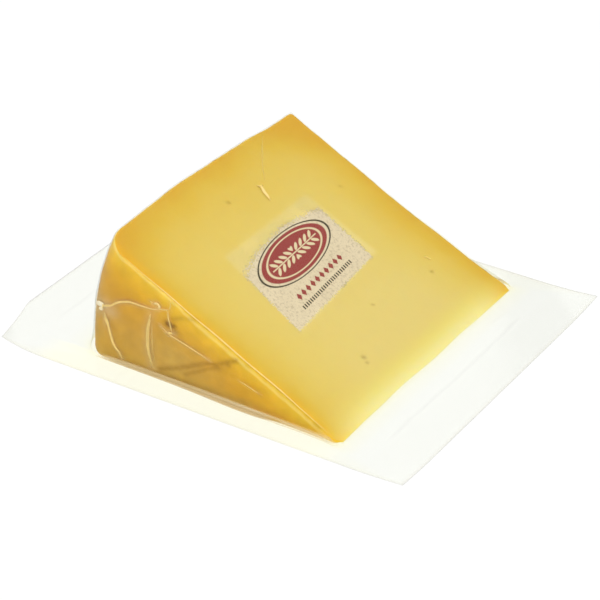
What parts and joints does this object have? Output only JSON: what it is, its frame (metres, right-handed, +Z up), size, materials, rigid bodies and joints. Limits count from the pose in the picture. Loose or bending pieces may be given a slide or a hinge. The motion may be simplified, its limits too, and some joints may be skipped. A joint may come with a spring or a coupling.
{
  "type": "vacuum-packed cheese wedge",
  "caption": "Hard sheep's milk cheese wedge lying on a cut face, vacuum packed between a flat base film and a formed clear cover film, with a printed label on the sloping face.",
  "frame": {"origin": "middle of the films' rectangle, on the surface that the pack lies on", "axes": "+Z up, +X from the rind end of the wedge towards its thin tip, +Y along the tip edge"},
  "size_m": [0.159, 0.128, 0.047],
  "materials": {
    "cheese": "smooth, slightly oily pale yellow paste with an amber rind",
    "film": "clear glossy flexible film",
    "label": "satin speckled paper-coloured print on film"
  },
  "bodies": {
    "root": {"base_film": "film", "cheese_wedge": "cheese", "cover_film": "film", "label": "label"}
  },
  "joints": []
}
